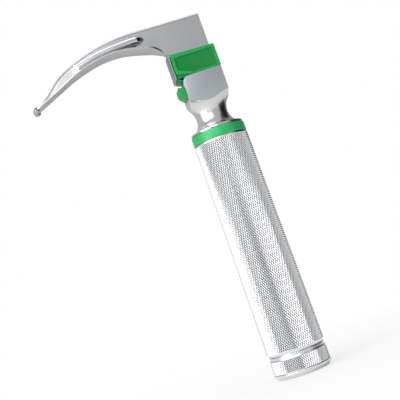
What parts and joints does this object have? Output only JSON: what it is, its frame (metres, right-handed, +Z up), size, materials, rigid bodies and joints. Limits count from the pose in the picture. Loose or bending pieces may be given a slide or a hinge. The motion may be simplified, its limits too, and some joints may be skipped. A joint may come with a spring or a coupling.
{
  "type": "laryngoscope",
  "caption": "Hook-on laryngoscope: a knurled battery handle with a sprung lamp in its slotted head, and a curved steel blade with a green heel that folds down beside the grip",
  "frame": {"origin": "centre of the base cap's flat bottom, on the handle's axis", "axes": "+Z up the handle's axis from the cap to the head; the open blade points along -X; its spatula lies on the -Y side of its web"},
  "size_m": [0.1009, 0.0302, 0.1935],
  "materials": {
    "plated_handle": "bright satin plating over diagonal knurling",
    "polished_head": "polished, with satin side faces",
    "blade_steel": "satin stainless steel, bright at the rims",
    "strip_steel": "satin stainless steel",
    "guide_steel": "polished stainless sheath",
    "green_heel": "semi-gloss moulded green",
    "green_ring": "semi-gloss anodised green",
    "spring_steel": "drawn wire",
    "pin_steel": "ground steel",
    "contact_brass": "bright brass",
    "seal_rubber": "matt black",
    "ivory_plastic": "moulded, matt",
    "cell_jacket": "plain printed sleeve, bare of text",
    "clear_glass": "polished glass"
  },
  "bodies": {
    "handle": {"grip_tube": "plated_handle", "colour_ring": "green_ring", "head_fitting": "polished_head", "hook_pin": "pin_steel", "head_seal": "seal_rubber", "contact_carrier": "ivory_plastic", "carrier_clip": "spring_steel", "battery_contact": "contact_brass", "lamp_spring": "spring_steel", "lower_cell": "cell_jacket", "upper_cell": "cell_jacket"},
    "lamp": {"lamp_sleeve": "contact_brass", "lamp_base": "pin_steel", "lamp_bulb": "clear_glass", "lamp_contact": "contact_brass"},
    "cap_carrier": {"cap_contact": "contact_brass", "cap_spring": "spring_steel"},
    "screw_cap": {"base_cap": "plated_handle", "cap_seal": "seal_rubber"},
    "blade": {"blade_steel": "blade_steel", "heel_block": "green_heel", "heel_plate": "strip_steel", "light_guide": "guide_steel", "inlet_window": "clear_glass", "outlet_window": "clear_glass", "inlet_ferrule": "pin_steel", "heel_pin_front": "pin_steel", "heel_pin_rear": "pin_steel", "detent_spring_near": "spring_steel", "detent_spring_far": "spring_steel"},
    "near_detent": {"detent_ball_near": "pin_steel"},
    "far_detent": {"detent_ball_far": "pin_steel"}
  },
  "joints": [
    {"name": "blade_fold", "type": "hinge", "parent": "handle", "child": "blade", "pos_m": [-0.0066, 0, 0.1566], "axis": [0, -1, 0], "range_deg": [0, 90]},
    {"name": "lamp_rise", "type": "slide", "parent": "handle", "child": "lamp", "axis": [0, 0, 1], "range_m": [0, 0.0012], "deforming": ["lamp_spring"]},
    {"name": "near_ball_press", "type": "slide", "parent": "blade", "child": "near_detent", "axis": [0, 1, 0], "range_m": [0, 0.0008], "stiffness_N_per_m": 300, "deforming": ["detent_spring_near"]},
    {"name": "far_ball_press", "type": "slide", "parent": "blade", "child": "far_detent", "axis": [0, -1, 0], "range_m": [0, 0.0008], "stiffness_N_per_m": 300, "deforming": ["detent_spring_far"]},
    {"name": "cap_travel", "type": "slide", "parent": "handle", "child": "cap_carrier", "axis": [0, 0, -1], "range_m": [0, 0.006], "deforming": ["cap_spring"]},
    {"name": "cap_turn", "type": "hinge", "parent": "cap_carrier", "child": "screw_cap", "pos_m": [0, 0, 0], "axis": [0, 0, -1], "range_deg": [0, 2160]}
  ],
  "couplings": [
    {"joint": "lamp_rise", "follows": "blade_fold", "m_per_rad": 0.00076},
    {"joint": "cap_turn", "follows": "cap_travel", "rad_per_m": 6283.2}
  ]
}
